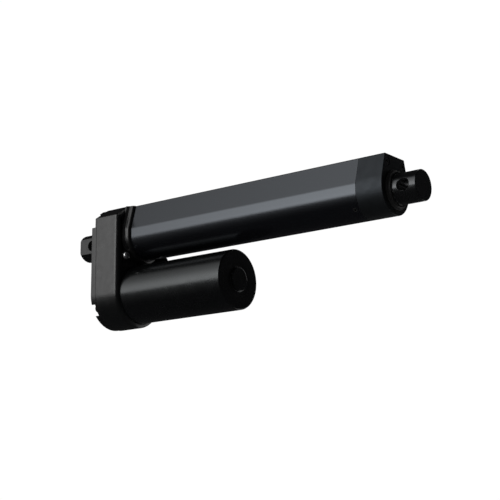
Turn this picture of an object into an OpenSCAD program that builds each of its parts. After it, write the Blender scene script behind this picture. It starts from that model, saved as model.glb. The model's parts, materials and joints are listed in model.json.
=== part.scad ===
// Electric linear actuator with an offset gearbox: a screw-driven rod in a
// D-section tube, a permanent-magnet motor lying parallel below it, and a
// two-stage spur gear train between the two.
// Frame: origin at the middle of the rear clevis pin hole, +X along the rod,
// +Z up with the tube above the motor. Millimetres, rod fully retracted.

/* [Stroke] */
// Travel of the rod between its end positions
stroke = 150; // [100:10:200]
// Rod travel per turn of the screw
lead = 5; // [4:0.5:6]

/* [Rod] */
// Diameter of the rod
rod_d = 20; // [19:0.5:20]
// Diameter of the pin hole in the rod end
rod_pin_d = 6.4; // [5:0.1:8]
// Distance from the rod pin hole to the end of the rod
rod_end_len = 9.2; // [8:0.1:12]

/* [Rear clevis] */
// Diameter of the clevis bar
clevis_d = 20; // [18:0.5:20]
// Width across the two flats of the clevis
clevis_flat_w = 16.4; // [14:0.2:17]
// Diameter of the pin hole in the clevis
clevis_pin_d = 6.4; // [5:0.1:8]
// Distance from the clevis pin hole to the end of the bar
clevis_end_len = 11.5; // [9:0.1:13]

/* [Tube] */
// Radius of the round lower part of the tube
tube_r = 16.1; // [15.5:0.1:16.5]
// Half width of the flat top of the tube
tube_top_hw = 11.3; // [10:0.1:12]
// Height of the flat top above the screw axis
tube_top_z = 22; // [21:0.1:22.5]
// Height where the upright side meets the slanted side
crease_z = 4.4; // [3:0.1:7]
// Radius of the tube's inside
tube_bore_r = 13.4; // [13:0.1:13.6]
// Length of the front cap
cap_len = 19.4; // [17:0.2:22]

/* [Gearbox] */
// Half width of the gearbox, and radius of its round lower end
box_hw = 23.6; // [23.4:0.1:25]
// Height of the gearbox top above the screw axis
box_top_z = 22.5; // [22.4:0.1:24]
// Half width of the gearbox top
box_top_hw = 12.5; // [11:0.1:14]
// Height where the side flats end and the top corners slant in
box_side_z = 14.8; // [13:0.1:16]
// Wall thickness of the gearbox housing
box_wall = 2.4; // [2:0.1:2.6]
// Radius of the rounded front edge of the gearbox
box_edge_r = 2; // [1.4:0.1:2.2]
// How far the tube collar stands forward of the gearbox face
tube_collar_len = 5.4; // [4:0.2:6]

/* [Motor] */
// Radius of the motor can
can_r = 20.7; // [20.5:0.1:20.8]
// Position of the motor's closed end along the actuator
can_front_x = 130.7; // [125:0.5:140]

/* [Gears] */
// Tooth count of the motor pinion
z_motor = 12; // [12:1:13]
// Tooth count of the intermediate gear
z_mid = 25; // [23:1:25]
// Tooth count of the intermediate pinion
z_mid_pinion = 12; // [12:1:13]
// Tooth count of the screw gear
z_screw = 32; // [30:1:32]
// Tooth thinning at the pitch circle, for backlash
backlash = 0.16; // [0.12:0.02:0.24]

/* [Hidden] */

// stations along X
cover_x0 = 15;
cover_x1 = 19.5;
box_x0 = 19.9;
cav_x1 = 33.2;
box_x1 = 39.2;
face_x = box_x1 + box_edge_r;
tube_x0 = box_x1 + 0.2;
tube_x1 = 86.5 + stroke;
cap_x1 = tube_x1 + cap_len;
rod_hole_x = cap_x1 + 10.8;
rod_x1 = rod_hole_x + rod_end_len;
brg_x0 = 35;
brg_x1 = 41;
nut_x0 = 48;
rod_r = rod_d / 2;
iz = -(z_mid_pinion + z_screw) / 2;
mz = iz - (z_motor + z_mid) / 2;
port_y = 9;
port_z = 17.2;
collar_t = 2;
gland_y = 16.8;
gland_z = -13.6;

cover_pts = [[18.2, 11.2], [-18.2, 11.2], [17.3, mz - 9.6], [-17.3, mz - 9.6]];
notch_pts = [[18.9, 13.6, 6.9], [-18.9, 13.6, 6.9], [17.3, mz - 9.6, 5.2], [-17.3, mz - 9.6, 5.2]];
front_pts = [[18.2, -23.6], [-15.5, -14.5]];

// lead screw thread
th_seg = 16;
th_root = 4;
th_crest = 6;
th_flank = 0.55;
th_crest_w = lead * 0.38;
th_x0 = nut_x0 - 1.5;
th_turns = floor((stroke + 30) / lead);

// ---------- helpers ----------
// solid along X from x0 to x1 of a Y-Z outline
module prism(x0, x1) translate([x0, 0, 0]) rotate([90, 0, 90]) linear_extrude(height = x1 - x0) children();
// cylinder along X
module rod_x(x0, x1, r, y = 0, z = 0, fn = 64) translate([x0, y, z]) rotate([0, 90, 0]) cylinder(h = x1 - x0, r = r, $fn = fn);
// cone along X
module cone_x(x0, x1, ra, rb, y = 0, z = 0) translate([x0, y, z]) rotate([0, 90, 0]) cylinder(h = x1 - x0, r1 = ra, r2 = rb, $fn = 64);
// ring along X
module ring_x(x0, x1, ro, ri, y = 0, z = 0) difference() {
  rod_x(x0, x1, ro, y, z);
  rod_x(x0 - 1, x1 + 1, ri, y, z);
}
// lathe profile points [x, r], swept about the line y, z
module lathe(pts, y = 0, z = 0) translate([0, y, z]) rotate([0, 90, 0]) rotate_extrude($fn = 96) polygon([for (p = pts) [p[1], p[0]]]);

// gearbox outline, drawn in by d
module box_outline(d) {
  w = box_hw - d;
  s = d * 0.45;
  translate([0, mz]) circle(r = w, $fn = 96);
  polygon([[-w, mz], [w, mz], [w, box_side_z - s], [box_top_hw - s, box_top_z - d],
    [-(box_top_hw - s), box_top_z - d], [-w, box_side_z - s]]);
}
// tube outline, drawn out by d
module tube_outline(d = 0) {
  r = tube_r + d;
  zc = crease_z + 0.1 * d;
  circle(r = r, $fn = 96);
  polygon([[-r, 0], [r, 0], [r, zc], [tube_top_hw + 0.8 * d, tube_top_z + d],
    [-tube_top_hw - 0.8 * d, tube_top_z + d], [-r, zc]]);
}
// outline of the collar round the tube, level with the tube's flat top
module collar_outline(d) intersection() {
  tube_outline(d);
  translate([-30, -30]) square([60, 30 + tube_top_z]);
}
// inside of the tube: round cavity and switch channel above it
module tube_cavity() {
  circle(r = tube_bore_r, $fn = 96);
  translate([-6, 8]) square([12, 11.4]);
}

// involute spur gear outline, module 1, pressure angle 20
function inv_deg(a) = tan(a) * 180 / PI - a;
function half_deg(z, r) = let (rp = z / 2, rb = rp * cos(20))
  90 / z - backlash / 2 / rp * 180 / PI + inv_deg(20) - (r > rb ? inv_deg(acos(rb / r)) : 0);
function tooth_r(z) = let (rb = z / 2 * cos(20), r0 = max(rb + 0.02, z / 2 - 1.15), r1 = z / 2 + 0.8)
  concat(rb > z / 2 - 1.15 ? [z / 2 - 1.15] : [], [for (i = [0 : 4]) r0 + (r1 - r0) * i / 4]);
function gear_pts(z, phase) = let (rs = tooth_r(z), n = len(rs))
  [for (t = [0 : z - 1], s = [0 : 2 * n - 1])
    let (i = s < n ? s : 2 * n - 1 - s, r = rs[i],
      a = phase + 360 * t / z + (s < n ? -1 : 1) * half_deg(z, r))
    [r * cos(a), r * sin(a)]];

// threaded bar: helix surface grown by c on every side, closed by a cone at each end
module thread(x0, turns, c = 0) {
  n = turns * th_seg;
  rr = th_root + c;
  rc = th_crest + c;
  off = [[-c, rr], [th_flank - c, rc], [th_flank + th_crest_w + c, rc], [2 * th_flank + th_crest_w + c, rr]];
  pts = concat(
    [for (k = [0 : n], j = [0 : 3]) let (a = 360 * k / th_seg)
      [x0 + lead * k / th_seg + off[j][0], off[j][1] * cos(a), off[j][1] * sin(a)]],
    [[x0 - 2, 0, 0], [x0 + lead * (turns - 1) + lead + 3.5, 0, 0]]);
  a0 = 4 * (n + 1);
  b0 = a0 + 1;
  strips = [for (k = [0 : n - 1], j = [0 : 2], t = [0, 1])
    t == 0 ? [4 * k + j, 4 * k + j + 1, 4 * (k + 1) + j] : [4 * k + j + 1, 4 * (k + 1) + j + 1, 4 * (k + 1) + j]];
  land = [for (k = [0 : n - th_seg - 1], t = [0, 1])
    t == 0 ? [4 * k + 3, 4 * (k + th_seg), 4 * (k + 1) + 3] : [4 * (k + th_seg), 4 * (k + 1 + th_seg), 4 * (k + 1) + 3]];
  start = concat(
    [for (k = [0 : th_seg - 1]) [a0, 4 * k, 4 * (k + 1)]],
    [[a0, 4 * th_seg, 3], [a0, 3, 2], [a0, 2, 1], [a0, 1, 0]]);
  end = concat(
    [for (k = [n - th_seg : n - 1]) [b0, 4 * (k + 1) + 3, 4 * k + 3]],
    [[b0, 4 * n + 2, 4 * n + 3], [b0, 4 * n + 1, 4 * n + 2], [b0, 4 * n, 4 * n + 1], [b0, 4 * (n - th_seg) + 3, 4 * n]]);
  polyhedron(points = pts, faces = concat(strips, land, start, end), convexity = 10);
}

// ---------- fixed body ----------
module rear_clevis() color("#2a2b2e") difference() {
  lathe([[-clevis_end_len, 0], [-clevis_end_len, clevis_d / 2 - 0.8], [-clevis_end_len + 0.8, clevis_d / 2],
    [cover_x0, clevis_d / 2], [cover_x0, 8], [17.4, 8], [17.4, 13], [19.4, 13], [19.4, 0]]);
  // two flats
  for (s = [-1, 1]) translate([-clevis_end_len - 1, s * (clevis_flat_w / 2 + 5) - 5, -15]) cube([clevis_end_len + 11, 10, 30]);
  // pin hole with small countersinks
  translate([0, 15, 0]) rotate([90, 0, 0]) cylinder(h = 30, r = clevis_pin_d / 2, $fn = 48);
  for (s = [-1, 1]) translate([0, s * (clevis_flat_w / 2 - 1.1), 0]) rotate([-s * 90, 0, 0])
    cylinder(h = 2, r1 = clevis_pin_d / 2 - 0.4, r2 = clevis_pin_d / 2 + 1.6, $fn = 48);
  // seat of the screw's rear bush
  rod_x(15.6, 20, 4.5);
  for (a = [45 : 90 : 315]) {
    rod_x(16, 20, 1.35, 10.2 * cos(a), 10.2 * sin(a), 32);
    cone_x(18.1, 19.5, 1.3, 2.4, 10.2 * cos(a), 10.2 * sin(a));
  }
}
module clevis_screws() color("#8c8e92") for (a = [45 : 90 : 315]) {
  rod_x(15.9, 18.5, 1.25, 10.2 * cos(a), 10.2 * sin(a), 32);
  difference() {
    cone_x(18.15, 19.35, 1.25, 2.2, 10.2 * cos(a), 10.2 * sin(a));
    translate([18.9, 10.2 * cos(a) - 0.3, 10.2 * sin(a) - 3]) cube([1, 0.6, 6]);
  }
}
module rear_cover() color("#232427") difference() {
  union() {
    prism(18.4, cover_x1) box_outline(0.4);
    prism(cover_x0, 18.4) difference() {
      box_outline(0.4);
      for (p = notch_pts) translate([p[0], p[1]]) circle(r = p[2], $fn = 64);
    }
  }
  rod_x(14, 18, 8.05);
  rod_x(17.4, 20, 13.1);
  for (a = [45 : 90 : 315]) rod_x(15.8, 18, 1.3, 10.2 * cos(a), 10.2 * sin(a), 32);
  for (p = cover_pts) rod_x(14, 20, 2.15, p[0], p[1], 32);
  for (p = front_pts) rod_x(16.2, 20, 1.6, p[0], p[1], 32);
  rod_x(16.4, 20, 2.52, 0, iz, 32);
  // shallow relief pocket in the lower rear face
  translate([14, -9, mz - 9]) cube([1.8, 18, 18]);
}
module cover_gasket() color("#101112") difference() {
  prism(cover_x1, box_x0) difference() {
    box_outline(0.4);
    box_outline(box_wall);
  }
  for (p = cover_pts) rod_x(cover_x1 - 1, box_x0 + 1, 2.15, p[0], p[1], 32);
}
module cover_screws() color("#18191b") for (p = cover_pts) {
  difference() {
    union() {
      rod_x(16.9, 18.4, 3.2, p[0], p[1]);
      cone_x(16.2, 16.9, 2.3, 3.2, p[0], p[1]);
    }
    prismless_hex(15.7, 17.5, 1.44, p[0], p[1]);
  }
  rod_x(18.1, 30, 2, p[0], p[1], 32);
}
module prismless_hex(x0, x1, r, y, z) translate([x0, y, z]) rotate([0, 90, 0]) cylinder(h = x1 - x0, r = r, $fn = 6);

module gearbox_housing() color("#232427") difference() {
  union() {
    difference() {
      union() {
        prism(box_x0, box_x1) box_outline(0);
        // rounded front edge, in steps
        for (a = [30, 50, 70, 90]) prism(box_x1 - 1, box_x1 + box_edge_r * sin(a)) box_outline(box_edge_r * (1 - cos(a - 10)));
      }
      prism(box_x0 - 1, cav_x1) box_outline(box_wall);
    }
    // screw bosses inside the cavity
    for (p = cover_pts) rod_x(box_x0, cav_x1 + 1, 3.6, p[0], p[1], 32);
    for (p = front_pts) rod_x(box_x0, cav_x1 + 1, 3.3, p[0], p[1], 32);
    translate([box_x0, -21.7, -17.4]) cube([14, 4.2, 5.8]);
    // collar around the tube, open on top, with a stepped front edge
    prism(box_x1 - 1, face_x + tube_collar_len - 1.2) collar_outline(collar_t);
    prism(box_x1, face_x + tube_collar_len - 0.5) collar_outline(collar_t - 0.5);
    prism(box_x1, face_x + tube_collar_len) collar_outline(collar_t - 1.1);
    // boss of the screw bearing, inside the tube end
    rod_x(box_x1 - 1, 43, 12.2);
  }
  // seat of the tube
  prism(tube_x0 - 0.2, 60) difference() {
    tube_outline(0.06);
    circle(r = 12.2, $fn = 96);
  }
  // bearing seat, circlip groove and shoulder
  rod_x(30, brg_x1, 9.5);
  rod_x(33.9, 34.9, 10);
  rod_x(40, 50, 8);
  // motor spigot seat and can seat
  rod_x(30, 45, 8.05, 0, mz);
  rod_x(box_x1, 60, can_r + 0.06, 0, mz, 96);
  // intermediate axle
  rod_x(32, 37, 2.52, 0, iz, 32);
  for (p = cover_pts) rod_x(19, 31, 2.06, p[0], p[1], 32);
  for (p = front_pts) rod_x(19, 45, 1.6, p[0], p[1], 32);
  for (s = [-1, 1]) rod_x(32, 40, 1.65, s * port_y, port_z, 32);
  for (s = [-1, 1]) rod_x(32, 42, 2.1, s * 13, mz, 32);
  // way for the switch leads, and the cable inlet
  translate([30, -3, 13.4]) cube([10, 6, 4]);
  rod_x(32, 43, 2.3, gland_y, gland_z, 48);
}
module housing_screws() color("#c9ccd0") for (p = front_pts) {
  difference() {
    union() {
      rod_x(face_x, face_x + 0.7, 3, p[0], p[1]);
      rod_x(face_x, face_x + 2.1, 2.7, p[0], p[1]);
      cone_x(face_x + 2.1, face_x + 2.8, 2.7, 2, p[0], p[1]);
    }
    translate([face_x + 1.5, p[0] - 0.4, p[1] - 2.2]) cube([3, 0.8, 4.4]);
    translate([face_x + 1.5, p[0] - 2.2, p[1] - 0.4]) cube([3, 4.4, 0.8]);
  }
  rod_x(16.6, face_x + 0.5, 1.5, p[0], p[1], 32);
}
module outer_tube() color("#36383c") difference() {
  prism(tube_x0, tube_x1) difference() {
    tube_outline();
    tube_cavity();
    for (s = [-1, 1]) translate([s * port_y, port_z]) circle(r = 1.55, $fn = 32);
  }
  // grub screw holes near the cap
  for (s = [-1, 1]) translate([tube_x1 - 3.6, 0, 0]) rotate([s * 135, 0, 0]) cylinder(h = 20, r = 1.6, $fn = 32);
}
module tube_screws() color("#8c8e92") for (s = [-1, 1]) {
  rod_x(31, cav_x1, 2.7, s * port_y, port_z);
  rod_x(cav_x1 - 0.5, 52, 1.5, s * port_y, port_z, 32);
}
module front_cap() color("#2c2d30") difference() {
  union() {
    prism(tube_x1, cap_x1 - 0.8) tube_outline();
    prism(cap_x1 - 0.8, cap_x1 - 0.3) tube_outline(-0.25);
    prism(cap_x1 - 0.3, cap_x1) tube_outline(-0.7);
    rod_x(tube_x1 - 7, tube_x1 + 1, tube_bore_r - 0.06, 0, 0, 96);
  }
  rod_x(tube_x1 - 8, cap_x1 - 4, 12.05, 0, 0, 96);
  rod_x(cap_x1 - 6, cap_x1 + 1, 12.55, 0, 0, 96);
  for (s = [-1, 1]) {
    rod_x(tube_x1 - 1, cap_x1 + 1, 1.65, s * port_y, port_z, 32);
    cone_x(cap_x1 - 1.9, cap_x1 + 0.1, 1.5, 3.1, s * port_y, port_z);
    translate([tube_x1 - 3.6, 0, 0]) rotate([s * 135, 0, 0]) cylinder(h = 20, r = 1.6, $fn = 32);
  }
}
module cap_screws() color("#18191b") for (s = [-1, 1]) difference() {
  union() {
    rod_x(tube_x1 - 14, cap_x1 - 1.5, 1.5, s * port_y, port_z, 32);
    cone_x(cap_x1 - 1.65, cap_x1 - 0.2, 1.5, 2.75, s * port_y, port_z);
  }
  prismless_hex(cap_x1 - 1.3, cap_x1 + 1, 1.15, s * port_y, port_z);
}
module cap_grub_screws() color("#18191b") for (s = [-1, 1]) translate([tube_x1 - 3.6, 0, 0]) rotate([s * 135, 0, 0]) difference() {
  translate([0, 0, 12.45]) cylinder(h = 3.2, r = 1.5, $fn = 32);
  translate([0, 0, 14.4]) cylinder(h = 3, r = 0.85, $fn = 6);
}
module rod_guide_bush() color("#8a7440") ring_x(tube_x1 - 6.6, cap_x1 - 6, 12, rod_r + 0.04);
module wiper_seal() color("#0c0c0d") lathe([[cap_x1 - 6, rod_r + 0.5], [cap_x1 - 6, 12.5], [cap_x1, 12.5], [cap_x1, 12.9],
  [cap_x1 + 1, 12.9], [cap_x1 + 3, 10.9], [cap_x1 + 3, rod_r + 0.08], [cap_x1 + 2, rod_r + 0.08], [cap_x1 + 1, rod_r + 0.5]]);
module cable_gland() color("#111214") difference() {
  union() {
    rod_x(33.4, face_x + 0.5, 2.24, gland_y, gland_z);
    rod_x(face_x, face_x + 1.4, 3.1, gland_y, gland_z);
    cone_x(face_x + 1.4, face_x + 9.8, 2.9, 2.3, gland_y, gland_z);
  }
  rod_x(33, 55, 1.3, gland_y, gland_z, 32);
}

// switches in the channel above the nut
module limit_board() color("#1f5a35") difference() {
  translate([43.5, -4.6, 17.5]) cube([tube_x1 - 44.5, 9.2, 1.4]);
}
module switch_body(x0, x1) difference() {
  translate([x0, -3.6, 13.9]) cube([x1 - x0, 7.2, 3.6]);
  translate([x0 - 1, 0, 15.6]) rotate([0, 90, 0]) cylinder(h = x1 - x0 + 2, r = 0.84, $fn = 32);
}
module retract_switch() color("#26282c") switch_body(44, 50);
module extend_switch() color("#26282c") switch_body(64.6 + stroke, 71 + stroke);
module retract_plunger() color("#c9ccd0") rod_x(45, 51.2, 0.8, 0, 15.6, 32);
module extend_plunger() color("#c9ccd0") rod_x(63.2 + stroke, 69.8 + stroke, 0.8, 0, 15.6, 32);

// ---------- screw bearing ----------
module bearing_outer_race() color("#b9bcc0") lathe([[brg_x0, 8], [brg_x0, 9.48], [brg_x1, 9.48], [brg_x1, 8],
  [39.2, 8], for (a = [0 : 5]) [38 + 1.15 - a * 2.3 / 5, 6.75 + sqrt(1.7 * 1.7 - pow(1.15 - a * 2.3 / 5, 2))], [36.8, 8]]);
module bearing_inner_race() color("#b9bcc0") lathe([[brg_x0, 4.02], [brg_x0, 5.5], [36.8, 5.5],
  for (a = [0 : 5]) [38 - 1.15 + a * 2.3 / 5, 6.75 - sqrt(1.7 * 1.7 - pow(-1.15 + a * 2.3 / 5, 2))], [39.2, 5.5], [brg_x1, 5.5], [brg_x1, 4.02]]);
module bearing_balls() color("#d8dade") for (i = [0 : 7]) translate([38, 6.75 * cos(45 * i), 6.75 * sin(45 * i)]) sphere(r = 1.5, $fn = 32);
module bearing_cage() color("#9a7b3c") difference() {
  ring_x(38.4, 40.4, 7.3, 6.2);
  for (i = [0 : 7]) translate([38, 6.75 * cos(45 * i), 6.75 * sin(45 * i)]) sphere(r = 1.6, $fn = 32);
}
module bearing_circlip() color("#8c8e92") difference() {
  ring_x(34, 34.8, 9.9, 8.3);
  translate([33, -1.2, 5]) cube([3, 2.4, 8]);
}
module screw_rear_bush() color("#9a7b3c") ring_x(15.6, 19.4, 4.46, 3.04);

// ---------- screw ----------
module lead_screw() color("#a9acb0") resize([0, 0, 0]) difference() {
  union() {
    thread(th_x0, th_turns);
    rod_x(brg_x1 + 1, th_x0 + lead * th_turns + 2, th_root - 0.05, 0, 0, 16);
    rod_x(brg_x1, th_x0 + 0.2, 6, 0, 0, 32);
    rod_x(22.2, brg_x1 + 0.5, 4, 0, 0, 32);
    rod_x(16, 22.4, 3, 0, 0, 32);
  }
  translate([22, -1.27, 2.6]) cube([4.9, 2.54, 3]);
}
module screw_gear() color("#d9d2bd") difference() {
  prism(22.2, 27.2) difference() {
    polygon(gear_pts(z_screw, -90 + 180 / z_screw));
    circle(r = 4.02, $fn = 48);
    translate([-1.27, 0]) square([2.54, 5.1]);
    for (i = [0 : 4]) translate([10.4 * cos(72 * i + 18), 10.4 * sin(72 * i + 18)]) circle(r = 2.6, $fn = 32);
  }
}
module gear_key() color("#8c8e92") translate([22.3, -1.25, 2.62]) cube([4.5, 2.5, 2.44]);
module screw_spacer() color("#8c8e92") ring_x(27.2, brg_x0, 5.4, 4.03);
module screw_lock_nut() color("#8c8e92") difference() {
  translate([20.3, 0, 0]) rotate([0, 90, 0]) cylinder(h = 1.9, r = 5.6, $fn = 6);
  rod_x(20, 23, 3.04);
}
// ---------- intermediate shaft ----------
module intermediate_axle() color("#b9bcc0") rod_x(16.5, 36.8, 2.5, 0, iz, 48);
module intermediate_gear() color("#d9d2bd") translate([0, 0, iz]) {
  prism(27.5, 32.2) difference() {
    polygon(gear_pts(z_mid, -90 + 180 / z_mid));
    circle(r = 2.56, $fn = 48);
    for (i = [0 : 4]) translate([8.3 * cos(72 * i + 54), 8.3 * sin(72 * i + 54)]) circle(r = 1.9, $fn = 32);
  }
  prism(21.9, 27.5) difference() {
    polygon(gear_pts(z_mid_pinion, 90));
    circle(r = 2.56, $fn = 48);
  }
}

// ---------- sliding rod ----------
module drive_nut() color("#e6e1d2") resize([0, 0, 0]) difference() {
  union() {
    rod_x(nut_x0, nut_x0 + 20, 12.9, 0, 0, 48);
    rod_x(nut_x0 + 19, nut_x0 + 32, 7.94, 0, 0, 32);
    translate([nut_x0 + 2, -4, 9]) cube([16, 8, 4.6]);
  }
  thread(th_x0 - 2 * lead, 14, 0.2);
}
module switch_cam() color("#b3242a") difference() {
  translate([nut_x0 + 3.4, -3.6, 13.6]) cube([11.6, 7.2, 3.2]);
  for (x = [nut_x0 + 6.2, nut_x0 + 12.2]) translate([x, 0, 13]) cylinder(h = 5, r = 1.1, $fn = 32);
}
module cam_screws() color("#c9ccd0") for (x = [nut_x0 + 6.2, nut_x0 + 12.2]) translate([x, 0, 0]) {
  translate([0, 0, 13.6]) cylinder(h = 3.3, r = 1, $fn = 32);
  translate([0, 0, 16.8]) cylinder(h = 0.5, r = 1.8, $fn = 32);
}
module inner_tube() color("#3a3b3e") difference() {
  ring_x(nut_x0 + 20, cap_x1 + 3.4, rod_r, 8);
  for (x = [nut_x0 + 26]) translate([x, 0, 0]) rotate([90, 0, 0]) cylinder(h = 30, r = 1.55, center = true, $fn = 32);
  translate([cap_x1 - 6, 0, 0]) cylinder(h = 30, r = 1.55, center = true, $fn = 32);
}
module rod_end() color("#2a2b2e") difference() {
  union() {
    rod_x(cap_x1 + 3.4, rod_x1 - 0.5, rod_r);
    cone_x(rod_x1 - 0.5, rod_x1, rod_r, rod_r - 0.5);
    rod_x(cap_x1 - 14, cap_x1 + 4, 7.94);
  }
  translate([rod_hole_x, 15, 0]) rotate([90, 0, 0]) cylinder(h = 30, r = rod_pin_d / 2, $fn = 48);
  for (s = [-1, 1]) translate([rod_hole_x, s * (rod_r - 1.8), 0]) rotate([-s * 90, 0, 0])
    cylinder(h = 3, r1 = rod_pin_d / 2 - 0.6, r2 = rod_pin_d / 2 + 2.4, $fn = 48);
  translate([cap_x1 - 6, 0, 0]) cylinder(h = 30, r = 1.55, center = true, $fn = 32);
}
module rod_end_pin() color("#8c8e92") translate([cap_x1 - 6, 0, 0]) cylinder(h = 19.2, r = 1.5, center = true, $fn = 32);

// ---------- motor ----------
can_x0 = box_x1 + 1.8;
module motor_can() color("#2b2c2f") difference() {
  union() {
    lathe([[can_x0, 0], [can_x0, can_r], [can_front_x - 1.4, can_r], [can_front_x - 0.9, can_r - 0.15],
      [can_front_x - 0.4, can_r - 0.5], [can_front_x - 0.1, can_r - 1], [can_front_x, can_r - 1.5], [can_front_x, 0]], 0, mz);
    lathe([[can_front_x - 1, 0], [can_front_x - 1, 8.2], [can_front_x + 1, 8.2], [can_front_x + 1.5, 7.7], [can_front_x + 1.5, 0]], 0, mz);
  }
  rod_x(can_x0 - 1, can_front_x - 1.6, can_r - 1.6, 0, mz, 96);
  rod_x(can_front_x - 2, can_front_x + 0.4, 5.6, 0, mz);
}
module motor_end_plate() color("#26282c") difference() {
  union() {
    rod_x(box_x1, can_x0, can_r, 0, mz, 96);
    rod_x(can_x0 - 1, 44, can_r - 1.66, 0, mz, 96);
    rod_x(34.2, box_x1 + 1, 8, 0, mz);
  }
  rod_x(34.6, 45, 5.05, 0, mz);
  rod_x(34, 45, 2.9, 0, mz);
  for (s = [-1, 1]) rod_x(38, 43, 2.04, s * 13, mz, 32);
}
module motor_screws() color("#8c8e92") for (s = [-1, 1]) difference() {
  union() {
    rod_x(31.4, cav_x1, 3.4, s * 13, mz);
    rod_x(cav_x1 - 0.5, 42.5, 2, s * 13, mz, 32);
  }
  prismless_hex(31, 32.4, 1.5, s * 13, mz);
}
module motor_magnets() color("#3d3f43") intersection() {
  ring_x(62, 116, can_r - 1.7, 13.4, 0, mz);
  union() for (s = [-1, 1]) translate([60, 0, mz]) rotate([90 - s * 90, 0, 0]) prism_wedge();
}
module prism_wedge() translate([0, 0, 0]) rotate([90, 0, 90]) linear_extrude(height = 60)
  polygon([[2, 0], [30, -42], [30, 42]]);
module magnet_clips() color("#b9bcc0") for (s = [-1, 1]) translate([0, 0, mz])
  prism(70, 108) difference() {
    intersection() {
      circle(r = can_r - 1.75, $fn = 96);
      translate([-3.4, s > 0 ? 14 : -24]) square([6.8, 10]);
    }
    circle(r = can_r - 2.6, $fn = 96);
  }
module brush_card() color("#5a3a22") difference() {
  union() {
    rod_x(45, 47, can_r - 1.8, 0, mz, 96);
    for (s = [-1, 1]) translate([47, s * 12.4 - 5.4, mz - 3.6]) cube([7.4, 10.8, 7.2]);
  }
  rod_x(44, 60, 6.6, 0, mz);
  for (s = [-1, 1]) translate([47.4, s * 12.4 - 8, mz - 2.1]) cube([6.2, 16, 4.2]);
}
module carbon_brushes() color("#1c1c1e") difference() {
  for (s = [-1, 1]) translate([47.6, s * 9.2 - 4.2, mz - 2]) cube([5.8, 8.4, 4]);
  rod_x(40, 60, 5.58, 0, mz);
}
module brush_springs() color("#c9a75a") for (s = [-1, 1]) for (i = [0 : 2])
  translate([50.5, s * (14.2 + i * 1.25), mz]) rotate([90, 0, 0]) rotate_extrude($fn = 32) translate([1.3, 0]) circle(r = 0.3, $fn = 16);
module motor_rear_bush() color("#9a7b3c") ring_x(34.8, 41.5, 5, 2.54, 0, mz);
module motor_front_bush() color("#9a7b3c") ring_x(can_front_x - 5.5, can_front_x + 0.3, 5.55, 2.54, 0, mz);
module motor_shaft() color("#b9bcc0") rod_x(27.2, can_front_x + 0.2, 2.5, 0, mz, 48);
module motor_pinion() color("#b9bcc0") translate([0, 0, mz]) prism(27.4, 32.8) difference() {
  polygon(gear_pts(z_motor, 90));
  circle(r = 2.52, $fn = 48);
}
module commutator() color("#b87333") translate([0, 0, mz]) prism(46.4, 56) difference() {
  circle(r = 5.5, $fn = 64);
  circle(r = 2.52, $fn = 48);
  for (i = [0 : 7]) rotate(45 * i + 22.5) translate([4.2, -0.2]) square([2, 0.4]);
}
module slot_shapes(c) for (i = [0 : 7]) rotate(45 * i) {
  translate([8.4, 0]) circle(r = 2.4 - c, $fn = 32);
}
module armature_core() color("#55585d") translate([0, 0, mz]) prism(68, 108) difference() {
  circle(r = 12.7, $fn = 96);
  circle(r = 2.52, $fn = 48);
  slot_shapes(0);
  for (i = [0 : 7]) rotate(45 * i) translate([9.5, -0.7]) square([4, 1.4]);
}
module armature_windings() color("#b06a35") {
  translate([0, 0, mz]) prism(66, 110) slot_shapes(0.15);
  lathe([[59, 5], [59, 9], [60.5, 11], [66.5, 11.4], [66.5, 5]], 0, mz);
  lathe([[109.5, 5], [109.5, 11.4], [115.5, 11], [117, 9], [117, 5]], 0, mz);
}

rear_clevis();
clevis_screws();
rear_cover();
cover_gasket();
cover_screws();
gearbox_housing();
housing_screws();
outer_tube();
tube_screws();
front_cap();
cap_screws();
cap_grub_screws();
rod_guide_bush();
wiper_seal();
cable_gland();
limit_board();
retract_switch();
extend_switch();
retract_plunger();
extend_plunger();
bearing_outer_race();
bearing_circlip();
bearing_balls();
bearing_cage();
bearing_inner_race();
screw_rear_bush();
lead_screw();
screw_gear();
gear_key();
screw_spacer();
screw_lock_nut();
intermediate_axle();
intermediate_gear();
drive_nut();
switch_cam();
cam_screws();
inner_tube();
rod_end();
rod_end_pin();
motor_can();
motor_end_plate();
motor_screws();
motor_magnets();
magnet_clips();
brush_card();
carbon_brushes();
brush_springs();
motor_rear_bush();
motor_front_bush();
motor_shaft();
motor_pinion();
commutator();
armature_core();
armature_windings();
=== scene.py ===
import json
import math

import bpy
import bmesh
import numpy as np
from mathutils import Matrix, Vector

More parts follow.
